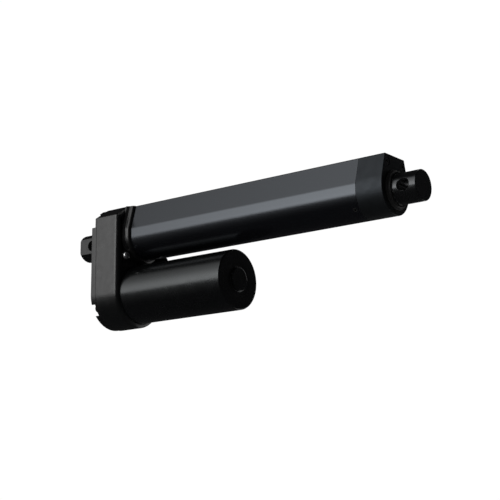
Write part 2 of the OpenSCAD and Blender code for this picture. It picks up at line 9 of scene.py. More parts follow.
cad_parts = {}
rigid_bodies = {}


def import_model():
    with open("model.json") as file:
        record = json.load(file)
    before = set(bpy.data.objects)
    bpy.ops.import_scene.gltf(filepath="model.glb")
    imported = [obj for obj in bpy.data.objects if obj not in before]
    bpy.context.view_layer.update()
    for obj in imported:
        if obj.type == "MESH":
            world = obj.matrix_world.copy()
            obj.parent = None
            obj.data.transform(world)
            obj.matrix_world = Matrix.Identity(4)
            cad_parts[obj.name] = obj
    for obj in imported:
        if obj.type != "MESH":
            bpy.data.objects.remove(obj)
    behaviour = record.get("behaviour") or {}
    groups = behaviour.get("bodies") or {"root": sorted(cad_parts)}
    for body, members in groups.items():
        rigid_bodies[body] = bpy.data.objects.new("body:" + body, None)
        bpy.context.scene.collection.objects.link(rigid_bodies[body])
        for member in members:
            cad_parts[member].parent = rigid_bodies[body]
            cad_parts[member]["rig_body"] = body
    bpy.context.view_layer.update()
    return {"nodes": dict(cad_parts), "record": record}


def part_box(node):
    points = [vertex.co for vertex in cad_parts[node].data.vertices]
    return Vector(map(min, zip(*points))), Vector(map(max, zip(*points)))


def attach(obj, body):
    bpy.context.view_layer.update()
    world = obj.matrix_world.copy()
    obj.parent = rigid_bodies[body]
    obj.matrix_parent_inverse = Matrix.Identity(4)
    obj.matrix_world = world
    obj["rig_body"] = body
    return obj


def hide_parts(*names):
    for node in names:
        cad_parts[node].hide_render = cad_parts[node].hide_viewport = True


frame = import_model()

NODES = frame["nodes"]
SLOT_OF = {s["node"]: s["material_slot"] for s in frame["record"]["subparts"]}
BODY_OF = {n: o["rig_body"] for n, o in NODES.items()}


def span(node):
    """A CAD node's box in millimetres: (x0, y0, z0), (x1, y1, z1)."""
    lo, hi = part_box(node)
    return [v * 1000 for v in lo], [v * 1000 for v in hi]


# ------------------------------------------------------------------ mesh tools (millimetres in, metres out)
def make(name, verts, faces):
    me = bpy.data.meshes.new(name)
    me.from_pydata([(x * 0.001, y * 0.001, z * 0.001) for x, y, z in verts], [], faces)
    bm = bmesh.new()
    bm.from_mesh(me)
    bmesh.ops.remove_doubles(bm, verts=bm.verts, dist=1e-7)
    bmesh.ops.dissolve_degenerate(bm, edges=bm.edges, dist=1e-7)
    bmesh.ops.recalc_face_normals(bm, faces=bm.faces)
    bm.to_mesh(me)
    bm.free()
    ob = bpy.data.objects.new(name, me)
    bpy.context.scene.collection.objects.link(ob)
    return ob


def rpoly(corners, step=6.0):
    """Counter-clockwise convex outline with rounded corners: (y, z, radius) in, (y, z, ny, nz) out."""
    out = []
    n = len(corners)
    for i in range(n):
        p0 = np.array(corners[i - 1][:2], float)
        p = np.array(corners[i][:2], float)
        p1 = np.array(corners[(i + 1) % n][:2], float)
        r = corners[i][2]
        a = (p - p0) / np.linalg.norm(p - p0)
        b = (p1 - p) / np.linalg.norm(p1 - p)
        turn = math.atan2(a[0] * b[1] - a[1] * b[0], a @ b)
        t = r * math.tan(abs(turn) / 2)
        start = p - a * t
        na = np.array([a[1], -a[0]])
        c = start - na * r
        k = max(2, int(math.ceil(math.degrees(abs(turn)) / step)))
        for j in range(k + 1):
            w = turn * j / k
            nn = np.array([na[0] * math.cos(w) - na[1] * math.sin(w), na[0] * math.sin(w) + na[1] * math.cos(w)])
            q = c + nn * r
            out.append((q[0], q[1], nn[0], nn[1]))
    return out


def loft(name, outline, stations, top=None):
    """Closed solid along X through (x, offset) stations of a (y, z, ny, nz) outline; top caps the height."""
    m = len(outline)
    verts, faces = [], []
    for x, d in stations:
        for y, z, ny, nz in outline:
            zz = z + nz * d
            verts.append((x, y + ny * d, zz if top is None else min(zz, top)))
    for s in range(len(stations) - 1):
        for i in range(m):
            j = (i + 1) % m
            faces.append((s * m + i, s * m + j, (s + 1) * m + j, (s + 1) * m + i))
    faces.append(tuple(reversed(range(m))))
    faces.append(tuple(range((len(stations) - 1) * m, len(stations) * m)))
    return make(name, verts, faces)


def lathe(name, prof, y=0.0, z=0.0, seg=128, axis="x"):
    """Closed (along, radius) profile swept round an axis; points at radius 0 close on the axis."""
    verts, rows = [], []
    for a, r in prof:
        if r < 1e-9:
            rows.append([len(verts)] * seg)
            verts.append((a, 0.0, 0.0))
        else:
            rows.append(list(range(len(verts), len(verts) + seg)))
            for i in range(seg):
                t = 2 * math.pi * i / seg
                verts.append((a, r * math.cos(t), r * math.sin(t)))
    faces = []
    n = len(prof)
    for s in range(n):
        u, v = rows[s], rows[(s + 1) % n]
        for i in range(seg):
            j = (i + 1) % seg
            f = []
            for q in (u[i], u[j], v[j], v[i]):
                if q not in f:
                    f.append(q)
            if len(f) > 2:
                faces.append(tuple(f))
    if axis == "y":
        verts = [(b, a, -c) for a, b, c in verts]
    elif axis == "z":
        verts = [(c, b, a) for a, b, c in verts]
    return make(name, [(p[0], p[1] + y, p[2] + z) for p in verts], faces)


def shift(ob, x=0.0, y=0.0, z=0.0):
    ob.data.transform(Matrix.Translation((x * 0.001, y * 0.001, z * 0.001)))
    return ob


def spin(ob, deg, axis="X"):
    ob.data.transform(Matrix.Rotation(math.radians(deg), 4, axis))
    return ob


def block(name, x0, y0, z0, x1, y1, z1, r=0.0):
    """Rectangular cutter or body, with its long edges along X rounded by r."""
    if r <= 0:
        pts = [(y0, z0, 0, 0), (y1, z0, 0, 0), (y1, z1, 0, 0), (y0, z1, 0, 0)]
    else:
        pts = rpoly([(y0, z0, r), (y1, z0, r), (y1, z1, r), (y0, z1, r)], 15)
    return loft(name, pts, [(x0, 0), (x1, 0)])


def join(name, obs):
    bm = bmesh.new()
    for o in obs:
        bm.from_mesh(o.data)
    me = bpy.data.meshes.new(name)
    bm.to_mesh(me)
    bm.free()
    ob = bpy.data.objects.new(name, me)
    bpy.context.scene.collection.objects.link(ob)
    for o in obs:
        drop(o)
    return ob


def drop(o):
    me = o.data
    bpy.data.objects.remove(o)
    if me.users == 0:
        bpy.data.meshes.remove(me)


def boolean(ob, other, op):
    m = ob.modifiers.new("b", "BOOLEAN")
    m.operation = op
    m.object = other
    m.solver = "MANIFOLD"
    bpy.context.view_layer.update()
    dg = bpy.context.evaluated_depsgraph_get()
    me = bpy.data.meshes.new_from_object(ob.evaluated_get(dg))
    if len(me.polygons) == 0:
        m.solver = "EXACT"
        bpy.context.view_layer.update()
        dg = bpy.context.evaluated_depsgraph_get()
        me = bpy.data.meshes.new_from_object(ob.evaluated_get(dg))
    ob.modifiers.clear()
    old = ob.data
    ob.data = me
    me.name = old.name
    bpy.data.meshes.remove(old)
    drop(other)
    return ob


def cut(ob, *others):
    for o in others:
        boolean(ob, o, "DIFFERENCE")
    return ob


def add(ob, *others):
    for o in others:
        boolean(ob, o, "UNION")
    return ob


def rod(x0, x1, r, y=0.0, z=0.0, seg=64, ch0=0.0, ch1=0.0):
    """Cylinder along X; ch0 and ch1 widen its ends as countersinks."""
    prof = [(x0, 0), (x0, r + ch0)]
    if ch0:
        prof.append((x0 + ch0, r))
    if ch1:
        prof.append((x1 - ch1, r))
    prof += [(x1, r + ch1), (x1, 0)]
    return lathe("tool", prof, y, z, seg)


def arc(cx, cr, r, a0, a1, n):
    """Points (along, radius) on a circle in the lathe plane."""
    return [(cx + r * math.cos(math.radians(a0 + (a1 - a0) * i / n)), cr + r * math.sin(math.radians(a0 + (a1 - a0) * i / n))) for i in range(n + 1)]


def polish(ob, angle=32.0):
    """Cleans the mesh, smooths it with sharp edges kept, and weights the normals by face area."""
    bm = bmesh.new()
    bm.from_mesh(ob.data)
    bmesh.ops.remove_doubles(bm, verts=bm.verts, dist=2e-7)
    bmesh.ops.dissolve_degenerate(bm, edges=bm.edges, dist=2e-7)
    bmesh.ops.dissolve_limit(bm, angle_limit=math.radians(0.05), verts=bm.verts, edges=bm.edges)
    bmesh.ops.triangulate(bm, faces=[f for f in bm.faces if len(f.verts) > 4])
    bm.to_mesh(ob.data)
    bm.free()
    ob.data.shade_smooth()
    ob.data.set_sharp_from_angle(angle=math.radians(angle))
    m = ob.modifiers.new("w", "WEIGHTED_NORMAL")
    m.keep_sharp = True
    m.weight = 100
    bpy.context.view_layer.update()
    dg = bpy.context.evaluated_depsgraph_get()
    me = bpy.data.meshes.new_from_object(ob.evaluated_get(dg))
    ob.modifiers.clear()
    old = ob.data
    ob.data = me
    me.name = ob.name
    bpy.data.meshes.remove(old)
    return ob


# ------------------------------------------------------------------ materials
def material(name, base, rough, metal=0.0, spec=0.5, vary=0.12, vary_scale=60.0, rough_vary=0.05,
             grain=900.0, grain_h=0.02, stretch=(1, 1, 1), fine=0.0, fine_scale=4000.0,
             wear=0.0, wear_col=(0.35, 0.35, 0.36), wear_r=0.0004, coat=0.0, coat_rough=0.1, tint=None,
             bands=None, spots=None, glint=None):
    """Procedural surface: mottled colour, uneven roughness, a stretched grain and a fine grain in the bump, worn edges."""
    m = bpy.data.materials.new(name)
    m.use_nodes = True
    nt = m.node_tree
    nt.nodes.clear()
    N, L = nt.nodes.new, nt.links.new
    out = N("ShaderNodeOutputMaterial")
    b = N("ShaderNodeBsdfPrincipled")
    L(b.outputs[0], out.inputs[0])
    b.inputs["Metallic"].default_value = metal
    b.inputs["Specular IOR Level"].default_value = spec
    if glint:
        b.inputs["Specular Tint"].default_value = (*glint, 1)
    if coat:
        b.inputs["Coat Weight"].default_value = coat
        b.inputs["Coat Roughness"].default_value = coat_rough
    tc = N("ShaderNodeTexCoord")
    mp = N("ShaderNodeMapping")
    mp.inputs["Scale"].default_value = stretch
    L(tc.outputs["Object"], mp.inputs["Vector"])
    # colour variation
    n1 = N("ShaderNodeTexNoise")
    n1.inputs["Scale"].default_value = vary_scale
    n1.inputs["Detail"].default_value = 4
    L(tc.outputs["Object"], n1.inputs["Vector"])
    ramp = N("ShaderNodeValToRGB")
    ramp.color_ramp.elements[0].position = 0.3
    ramp.color_ramp.elements[1].position = 0.72
    lo = [max(0.0, c * (1 - vary)) for c in base]
    hi = [min(1.0, c * (1 + vary)) for c in base]
    if tint:
        hi = [min(1.0, c * t) for c, t in zip(hi, tint)]
    ramp.color_ramp.elements[0].color = (*lo, 1)
    ramp.color_ramp.elements[1].color = (*hi, 1)
    L(n1.outputs["Fac"], ramp.inputs["Fac"])
    col = ramp.outputs["Color"]
    # grain
    g = N("ShaderNodeTexNoise")
    g.inputs["Scale"].default_value = grain
    g.inputs["Detail"].default_value = 5
    g.inputs["Roughness"].default_value = 0.6
    L(mp.outputs[0], g.inputs["Vector"])
    height = g.outputs["Fac"]
    if bands:
        # rings or windings: evenly spaced lines across one axis
        axis, per_m, amount = bands
        w = N("ShaderNodeTexWave")
        w.wave_type = "BANDS"
        w.bands_direction = axis
        w.inputs["Scale"].default_value = per_m / 3.1831
        w.inputs["Distortion"].default_value = 0.35
        w.inputs["Detail"].default_value = 1
        L(tc.outputs["Object"], w.inputs["Vector"])
        mix = N("ShaderNodeMix")
        mix.data_type = "FLOAT"
        mix.inputs[0].default_value = amount
        L(height, mix.inputs[2])
        L(w.outputs["Fac"], mix.inputs[3])
        height = mix.outputs[0]
        dark = N("ShaderNodeMix")
        dark.data_type = "RGBA"
        dark.blend_type = "MULTIPLY"
        mr = N("ShaderNodeMapRange")
        mr.inputs["To Min"].default_value = 0.55
        L(w.outputs["Fac"], mr.inputs["Value"])
        cc = N("ShaderNodeCombineColor")
        for i in range(3):
            L(mr.outputs[0], cc.inputs[i])
        dark.inputs[0].default_value = 1.0
        L(col, dark.inputs[6])
        L(cc.outputs[0], dark.inputs[7])
        col = dark.outputs[2]
    if spots:
        # pores or speckle
        v = N("ShaderNodeTexVoronoi")
        v.inputs["Scale"].default_value = spots[0]
        L(tc.outputs["Object"], v.inputs["Vector"])
        sr = N("ShaderNodeMapRange")
        sr.inputs["From Min"].default_value = 0.1
        sr.inputs["From Max"].default_value = 0.32
        L(v.outputs["Distance"], sr.inputs["Value"])
        sm = N("ShaderNodeMix")
        sm.data_type = "RGBA"
        sm.inputs[6].default_value = (*spots[1], 1)
        L(sr.outputs[0], sm.inputs[0])
        L(col, sm.inputs[7])
        col = sm.outputs[2]
    if wear:
        bev = N("ShaderNodeBevel")
        bev.samples = 4
        bev.inputs["Radius"].default_value = wear_r
        geo = N("ShaderNodeNewGeometry")
        dot = N("ShaderNodeVectorMath")
        dot.operation = "DOT_PRODUCT"
        L(bev.outputs[0], dot.inputs[0])
        L(geo.outputs["Normal"], dot.inputs[1])
        wn = N("ShaderNodeTexNoise")
        wn.inputs["Scale"].default_value = 700
        wn.inputs["Detail"].default_value = 4
        L(tc.outputs["Object"], wn.inputs["Vector"])
        e = N("ShaderNodeMapRange")
        e.inputs["From Min"].default_value = 0.985
        e.inputs["From Max"].default_value = 0.86
        L(dot.outputs["Value"], e.inputs["Value"])
        wm = N("ShaderNodeMapRange")
        wm.inputs["From Min"].default_value = 0.42
        wm.inputs["From Max"].default_value = 0.7
        wm.inputs["To Max"].default_value = wear
        L(wn.outputs["Fac"], wm.inputs["Value"])
        mul = N("ShaderNodeMath")
        mul.operation = "MULTIPLY"
        L(e.outputs[0], mul.inputs[0])
        L(wm.outputs[0], mul.inputs[1])
        em = N("ShaderNodeMix")
        em.data_type = "RGBA"
        em.inputs[7].default_value = (*wear_col, 1)
        L(mul.outputs[0], em.inputs[0])
        L(col, em.inputs[6])
        col = em.outputs[2]
    L(col, b.inputs["Base Color"])
    # uneven roughness
    n2 = N("ShaderNodeTexNoise")
    n2.inputs["Scale"].default_value = vary_scale * 2.3
    n2.inputs["Detail"].default_value = 5
    L(mp.outputs[0], n2.inputs["Vector"])
    rr = N("ShaderNodeMapRange")
    rr.inputs["From Min"].default_value = 0.3
    rr.inputs["From Max"].default_value = 0.7
    rr.inputs["To Min"].default_value = max(0.02, rough - rough_vary)
    rr.inputs["To Max"].default_value = min(1.0, rough + rough_vary)
    L(n2.outputs["Fac"], rr.inputs["Value"])
    L(rr.outputs[0], b.inputs["Roughness"])
    # bump
    bump = N("ShaderNodeBump")
    bump.inputs["Strength"].default_value = 1.0
    bump.inputs["Distance"].default_value = grain_h * 0.001
    L(height, bump.inputs["Height"])
    last = bump
    if fine:
        f = N("ShaderNodeTexNoise")
        f.inputs["Scale"].default_value = fine_scale
        f.inputs["Detail"].default_value = 2
        L(tc.outputs["Object"], f.inputs["Vector"])
        b2 = N("ShaderNodeBump")
        b2.inputs["Strength"].default_value = 1.0
        b2.inputs["Distance"].default_value = fine * 0.001
        L(f.outputs["Fac"], b2.inputs["Height"])
        L(bump.outputs[0], b2.inputs["Normal"])
        last = b2
    L(last.outputs[0], b.inputs["Normal"])
    return m


STEEL_EDGE = (0.30, 0.30, 0.31)
MATS = {
    "housing_black": material("cast_black", (0.0018, 0.0019, 0.002), 0.32, spec=0.40, vary=0.18, vary_scale=90, rough_vary=0.05,
                              grain=1500, grain_h=0.010, fine=0.003, fine_scale=5200, wear=0.10, wear_col=(0.10, 0.10, 0.105)),
    "tube_black": material("anodised_black", (0.0013, 0.0014, 0.0018), 0.25, glint=(0.83, 0.905, 1.0), spec=0.56, vary=0.10, vary_scale=25, rough_vary=0.025,
                           grain=900, grain_h=0.0022, stretch=(0.02, 1, 1), fine=0.0006, fine_scale=5200, wear=0.12, wear_col=(0.12, 0.12, 0.13)),
    "cap_black": material("cap_black", (0.0018, 0.0019, 0.002), 0.5, glint=(0.79, 0.89, 1.0), spec=0.35, vary=0.15, vary_scale=90, rough_vary=0.04,
                          grain=1700, grain_h=0.007, fine=0.002, wear=0.10, wear_col=(0.10, 0.10, 0.105)),
    "rod_black": material("nitrided_black", (0.0022, 0.0023, 0.0024), 0.24, glint=(0.94, 0.97, 1.0), spec=0.44, vary=0.12, vary_scale=70, rough_vary=0.04,
                          grain=1500, grain_h=0.0025, stretch=(1, 0.12, 0.12), wear=0.25, wear_col=STEEL_EDGE),
    "motor_black": material("motor_paint", (0.0014, 0.0015, 0.0016), 0.25, glint=(0.93, 0.98, 1.0), spec=0.42, vary=0.14, vary_scale=60, rough_vary=0.035,
                            grain=420, grain_h=0.0012, fine=0.0002, wear=0.12, wear_col=(0.16, 0.16, 0.165)),
    "zinc_steel": material("zinc_plate", (0.78, 0.79, 0.80), 0.40, metal=1.0, vary=0.06, tint=(1.0, 1.0, 0.97), rough_vary=0.08, vary_scale=400,
                           grain=3000, grain_h=0.004, wear=0.3, wear_col=(0.85, 0.85, 0.86)),
    "black_steel": material("black_oxide", (0.005, 0.005, 0.0055), 0.38, spec=0.5, vary=0.2, rough_vary=0.08, vary_scale=500,
                            grain=2500, grain_h=0.006, wear=0.45, wear_col=(0.22, 0.22, 0.23), wear_r=0.0002),
    "bright_steel": material("ground_steel", (0.60, 0.61, 0.63), 0.2, metal=1.0, vary=0.06, rough_vary=0.06, vary_scale=150,
                             grain=4200, grain_h=0.002, stretch=(1, 0.08, 0.08), wear=0.2, wear_col=(0.8, 0.8, 0.81)),
    "sintered_bronze": material("sintered_bronze", (0.50, 0.34, 0.17), 0.44, metal=1.0, vary=0.14, rough_vary=0.1, vary_scale=600,
                                grain=2600, grain_h=0.012, spots=(5200, (0.17, 0.10, 0.05)), wear=0.3, wear_col=(0.72, 0.56, 0.33)),
    "seal_rubber": material("seal_rubber", (0.0035, 0.0035, 0.0036), 0.6, spec=0.25, vary=0.25, vary_scale=200, rough_vary=0.08,
                            grain=2600, grain_h=0.012, wear=0.0),
    "acetal_natural": material("acetal", (0.76, 0.72, 0.61), 0.34, spec=0.5, vary=0.05, vary_scale=120, rough_vary=0.06,
                               grain=1800, grain_h=0.008, wear=0.2, wear_col=(0.86, 0.84, 0.77)),
    "cam_red": material("cam_red", (0.42, 0.022, 0.028), 0.36, vary=0.1, rough_vary=0.06, grain=2200, grain_h=0.01, wear=0.2, wear_col=(0.6, 0.1, 0.1)),
    "board_green": material("board_green", (0.012, 0.13, 0.05), 0.28, vary=0.15, rough_vary=0.05, vary_scale=500, grain=2600, grain_h=0.006,
                            bands=("Y", 900, 0.35), coat=0.3, coat_rough=0.15),
    "dark_plastic": material("switch_plastic", (0.024, 0.024, 0.027), 0.42, vary=0.15, rough_vary=0.08, grain=2600, grain_h=0.012, wear=0.2, wear_col=(0.08, 0.08, 0.085)),
    "card_brown": material("phenolic_card", (0.16, 0.075, 0.03), 0.46, vary=0.22, rough_vary=0.1, vary_scale=300, grain=1500, grain_h=0.014,
                           stretch=(1, 0.2, 1), wear=0.3, wear_col=(0.3, 0.18, 0.1)),
    "ferrite": material("ferrite", (0.045, 0.045, 0.048), 0.52, vary=0.25, rough_vary=0.12, vary_scale=900, grain=3200, grain_h=0.02,
                        spots=(2600, (0.02, 0.02, 0.022)), wear=0.3, wear_col=(0.14, 0.14, 0.145)),
    "lamination_steel": material("laminations", (0.27, 0.28, 0.30), 0.34, metal=1.0, vary=0.1, rough_vary=0.08, vary_scale=200,
                                 grain=2000, grain_h=0.03, bands=("X", 2000, 0.8)),
    "copper": material("copper_wire", (0.66, 0.26, 0.11), 0.28, metal=1.0, vary=0.14, rough_vary=0.08, vary_scale=250,
                       grain=1500, grain_h=0.05, bands=("X", 1700, 0.75), tint=(1.05, 1.0, 0.9)),
    "carbon": material("carbon", (0.018, 0.018, 0.019), 0.48, vary=0.2, rough_vary=0.1, grain=3200, grain_h=0.02, wear=0.3, wear_col=(0.1, 0.1, 0.1)),
}
COMM = material("commutator_copper", (0.68, 0.29, 0.13), 0.22, metal=1.0, vary=0.08, rough_vary=0.06, vary_scale=200, grain=2500, grain_h=0.004,
                stretch=(1, 0.1, 0.1), wear=0.3, wear_col=(0.85, 0.5, 0.32))
FORGED = material("forged_black", (0.0018, 0.0019, 0.002), 0.33, spec=0.335, vary=0.18, vary_scale=110, rough_vary=0.05,
                  grain=1500, grain_h=0.010, fine=0.003, fine_scale=5200, wear=0.14, wear_col=(0.12, 0.12, 0.125))
OWN = {"commutator": COMM, "rear_clevis": FORGED}


def dress(ob, slot):
    ob.data.materials.clear()
    ob.data.materials.append(MATS[slot])


def piece(ob, node, angle=32.0, clean=True):
    """Finishes a built piece, gives it the node's material and body, and lets it stand for the node."""
    ob.name = node + "_form"
    if clean:
        polish(ob, angle)
    ob.data.name = ob.name
    dress(ob, SLOT_OF[node])
    if node in OWN:
        ob.data.materials[0] = OWN[node]
    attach(ob, BODY_OF[node])
    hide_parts(node)
    return ob


for n, o in NODES.items():
    o.data.materials.clear()
    o.data.materials.append(OWN.get(n) or MATS[SLOT_OF[n]])

# ------------------------------------------------------------------ stations, read from the frame
H0, H1 = span("gearbox_housing")
G0, G1 = span("cover_gasket")
T0, T1 = span("outer_tube")
C0, C1 = span("front_cap")
M0, M1 = span("motor_can")
R0, R1 = span("rear_cover")
K0, K1 = span("rear_clevis")
E0, E1 = span("rod_end")
W0, W1 = span("wiper_seal")
S0, S1 = span("housing_screws")
box_x0 = H0[0]
wall_x = T0[0] - 0.2
collar_x1 = H1[0]
face_x = S1[0] - 2.8
edge_r = face_x - wall_x
hw = H1[1]
box_top = H1[2]
mz = (M0[2] + M1[2]) / 2
can_r = (M1[2] - M0[2]) / 2
tube_r = T1[1]
tube_top = T1[2]
tube_x1 = T1[0]
cap_x1 = C1[0]
rod_r = (E1[2] - E0[2]) / 2
rod_x1 = E1[0]
hole_x = rod_x1 - 9.2
cav_x1 = wall_x - 6
wall_t = 2.4
CREASE = 4.4
TOP_HW = 11.3
SIDE_Z = 14.8
BOX_TOP_HW = 12.5
PORT = (9.0, 17.2)
iz = -22.0
COVER_PTS = [(18.2, 11.2), (-18.2, 11.2), (17.3, mz - 9.6), (-17.3, mz - 9.6)]
NOTCHES = [(18.9, 13.6, 6.9), (-18.9, 13.6, 6.9), (17.3, mz - 9.6, 5.2), (-17.3, mz - 9.6, 5.2)]
FRONT_PTS = [(S1[1] - 3, S0[2] + 3), (S0[1] + 3, S1[2] - 3)]
L0, L1 = span("cable_gland")
GLAND = ((L0[1] + L1[1]) / 2, (L0[2] + L1[2]) / 2)


def box_line(d=0.0, step=4.0, corner=1.2):
    w = hw - d
    s = d * 0.45
    return rpoly([(-w, mz - w, w), (w, mz - w, w), (w, SIDE_Z - s, corner), (BOX_TOP_HW - s, box_top - d, corner),
                  (-(BOX_TOP_HW - s), box_top - d, corner), (-w, SIDE_Z - s, corner)], step)


def tube_line(d=0.0, step=3.0, top_r=0.9, crease_r=5.0):
    r = tube_r + d
    return rpoly([(-r, -r, r), (r, -r, r), (r, CREASE + 0.1 * d, crease_r), (TOP_HW + 0.8 * d, tube_top + d, top_r),
                  (-TOP_HW - 0.8 * d, tube_top + d, top_r), (-r, CREASE + 0.1 * d, crease_r)], step)


def rounded(x_end, r, n=6, sign=1):
    """Stations that round an end edge at x_end with radius r: (x, inward offset)."""
    return [(x_end - sign * (r - r * math.sin(math.radians(90.0 * i / n))), -(r - r * math.cos(math.radians(90.0 * i / n)))) for i in range(n + 1)]


# ------------------------------------------------------------------ gearbox housing
def build_housing():
    body = loft("gearbox", box_line(step=3.0, corner=1.0), [(box_x0, -0.25), (box_x0 + 0.25, 0)] + rounded(face_x, 3.4, 10))
    cut(body, loft("cav", box_line(wall_t, 6.0, 1.0), [(box_x0 - 1, 0), (cav_x1, 0)]))
    # collar round the tube: sloping root, short straight side, rounded lip, level with the tube's flat top
    root = [(face_x - 1.0, 3.5), (face_x - 0.02, 3.4), (face_x + 0.3, 3.15), (face_x + 1.6, 2.2), (face_x + 1.9, 2.05), (face_x + 2.1, 2.0)]
    lip = [(collar_x1 - 2.5 + 2.5 * math.sin(math.radians(a)), 2.0 - 1.8 * (1 - math.cos(math.radians(a)))) for a in (0, 15, 30, 45, 60, 75, 90)]
    add(body, loft("collar", tube_line(step=3.0), root + lip, top=tube_top))
    # bosses inside
    tools = [rod(box_x0 + 0.01, cav_x1 + 1, 3.6, p[0], p[1], 48) for p in COVER_PTS]
    tools += [rod(box_x0 + 0.01, cav_x1 + 1, 3.3, p[0], p[1], 48) for p in FRONT_PTS]
    for t in tools:
        add(body, t)
    add(body, block("web", box_x0 + 0.01, -21.7, -17.4, box_x0 + 14, -17.5, -11.6))
    # seat of the tube, leaving the screw bearing's boss
    seat = loft("seat", tube_line(0.06, 3.0), [(wall_x, 0), (60, 0)])
    cut(seat, rod(wall_x - 1, 43, 12.2, seg=96))
    cut(body, seat)
    cut(body, rod(30, wall_x + 1.8, 9.5, seg=96), rod(33.9, 34.9, 10, seg=96), rod(40, 50, 8, seg=96))
    cut(body, rod(30, 45, 8.05, 0, mz, 96), rod(wall_x, face_x, can_r + 0.06, 0, mz, 128),
        lathe("t", [(face_x - 0.35, 0), (face_x - 0.35, can_r + 0.06), (face_x + 0.05, can_r + 0.46), (face_x + 3, can_r + 0.46), (face_x + 3, 0)], 0, mz, 128))
    cut(body, rod(32, 37, 2.52, 0, iz, 48))
    for p in COVER_PTS:
        cut(body, rod(19, 31, 2.06, p[0], p[1], 32))
    for p in FRONT_PTS:
        cut(body, rod(19, face_x + 4, 1.6, p[0], p[1], 32))
    for s in (-1, 1):
        cut(body, rod(32, wall_x + 0.5, 1.65, s * PORT[0], PORT[1], 32), rod(32, 42, 2.1, s * 13, mz, 32))
    cut(body, block("leads", 30, -3, 13.4, 40, 3, 17.4), rod(32, face_x + 1, 2.3, GLAND[0], GLAND[1], 48))
    return piece(body, "gearbox_housing", 30)


build_housing()


# ------------------------------------------------------------------ rear cover: plate with its corners cut back round the screws
def build_cover():
    x0, x1 = R0[0], R1[0]
    step_x = x1 - 1.1
    plate = loft("cover", box_line(0.4, 3.0, 0.5), [(x0, -0.22), (x0 + 0.06, -0.08), (x0 + 0.22, 0), (x1 - 0.15, 0), (x1, -0.12)])
    for y, z, r in NOTCHES:
        cut(plate, lathe("notch", [(x0 - 1, 0), (x0 - 1, r + 0.22), (x0, r + 0.22), (x0 + 0.22, r), (step_x - 0.4, r), (step_x - 0.12, r - 0.1), (step_x, r - 0.4), (step_x, 0)], y, z, 96))
    cut(plate, rod(x0 - 1, 18, 8.05, seg=96), rod(17.4, 20, 13.1, seg=96))
    for a in (45, 135, 225, 315):
        cut(plate, rod(15.8, 18, 1.3, 10.2 * math.cos(math.radians(a)), 10.2 * math.sin(math.radians(a)), 32))
    for p in COVER_PTS:
        cut(plate, rod(14, 20, 2.15, p[0], p[1], 32))
    for p in FRONT_PTS:
        cut(plate, rod(16.2, 20, 1.6, p[0], p[1], 32))
    cut(plate, rod(16.4, 20, 2.52, 0, iz, 32))
    pocket = loft("pocket", rpoly([(-9, mz - 9, 2.2), (9, mz - 9, 2.2), (9, mz + 9, 2.2), (-9, mz + 9, 2.2)], 10), [(x0 - 1, 0.5), (x0, 0.35), (x0 + 0.35, 0), (x0 + 0.8, 0)])
    cut(plate, pocket)
    return piece(plate, "rear_cover", 30)


build_cover()


# ------------------------------------------------------------------ tube: D section, slightly eased edges, channel and screw ports inside
def build_tube():
    x0, x1 = T0[0], T1[0]
    body = loft("tube", tube_line(step=2.0), [(x0, -0.3), (x0 + 0.3, 0), (x1 - 0.14, 0), (x1 - 0.04, -0.05), (x1, -0.14)])
    cut(body, rod(x0 - 1, x1 + 1, 13.4, seg=128))
    cut(body, loft("channel", rpoly([(-6, 8, 0.5), (6, 8, 0.5), (6, 19.4, 0.8), (-6, 19.4, 0.8)], 15), [(x0 - 1, 0), (x1 + 1, 0)]))
    for s in (-1, 1):
        cut(body, rod(x0 - 1, x1 + 1, 1.55, s * PORT[0], PORT[1], 32))
    for s in (-1, 1):
        h = lathe("grub", [(10, 0), (10, 1.6), (20, 1.6), (20, 0)], seg=48, axis="z")
        spin(h, s * 135)
        cut(body, shift(h, x1 - 3.6))
    return piece(body, "outer_tube", 30)


build_tube()


# ------------------------------------------------------------------ front cap
def build_cap():
    x0 = tube_x1
    body = loft("cap", tube_line(step=1.5, crease_r=20.0), [(x0, -0.22), (x0 + 0.06, -0.08), (x0 + 0.2, 0)] + rounded(cap_x1, 0.6, 6))
    add(body, lathe("plug", [(x0 - 7, 0), (x0 - 7, 13.0), (x0 - 6.6, 13.34), (x0 + 1, 13.34), (x0 + 1, 0)], seg=128))
    cut(body, rod(x0 - 8, cap_x1 - 4, 12.05, seg=128))
    cut(body, lathe("well", [(cap_x1 - 6, 0), (cap_x1 - 6, 12.55), (cap_x1 - 0.35, 12.55), (cap_x1, 12.95), (cap_x1 + 1, 13.9), (cap_x1 + 1, 0)], seg=128))
    for s in (-1, 1):
        cut(body, lathe("cs", [(x0 - 1, 0), (x0 - 1, 1.65), (cap_x1 - 1.9, 1.65), (cap_x1 - 1.7, 1.8), (cap_x1 - 0.25, 2.95), (cap_x1 + 1, 3.1), (cap_x1 + 1, 0)], s * PORT[0], PORT[1], 48))
        h = lathe("grub", [(10, 0), (10, 1.6), (20, 1.6), (20, 0)], seg=48, axis="z")
        spin(h, s * 135)
        cut(body, shift(h, x0 - 3.6))
    return piece(body, "front_cap", 30)


build_cap()

# ------------------------------------------------------------------ wiper lip
cx = cap_x1
piece(lathe("wiper", [(cx - 6, rod_r + 0.5), (cx - 6, 12.5), (cx, 12.5), (cx, 12.7)] + arc(cx + 0.75, 12.55, 0.32, 150, 20, 5)
            + [(cx + 1.35, 12.3), (cx + 1.6, 11.7), (cx + 2.2, 11.35)] + arc(cx + 2.55, 10.95, 0.42, 80, -10, 5)
            + [(cx + 3.0, rod_r + 0.3), (cx + 2.9, rod_r + 0.08), (cx + 2.2, rod_r + 0.08), (cx + 1.2, rod_r + 0.5)], seg=160), "wiper_seal", 25)


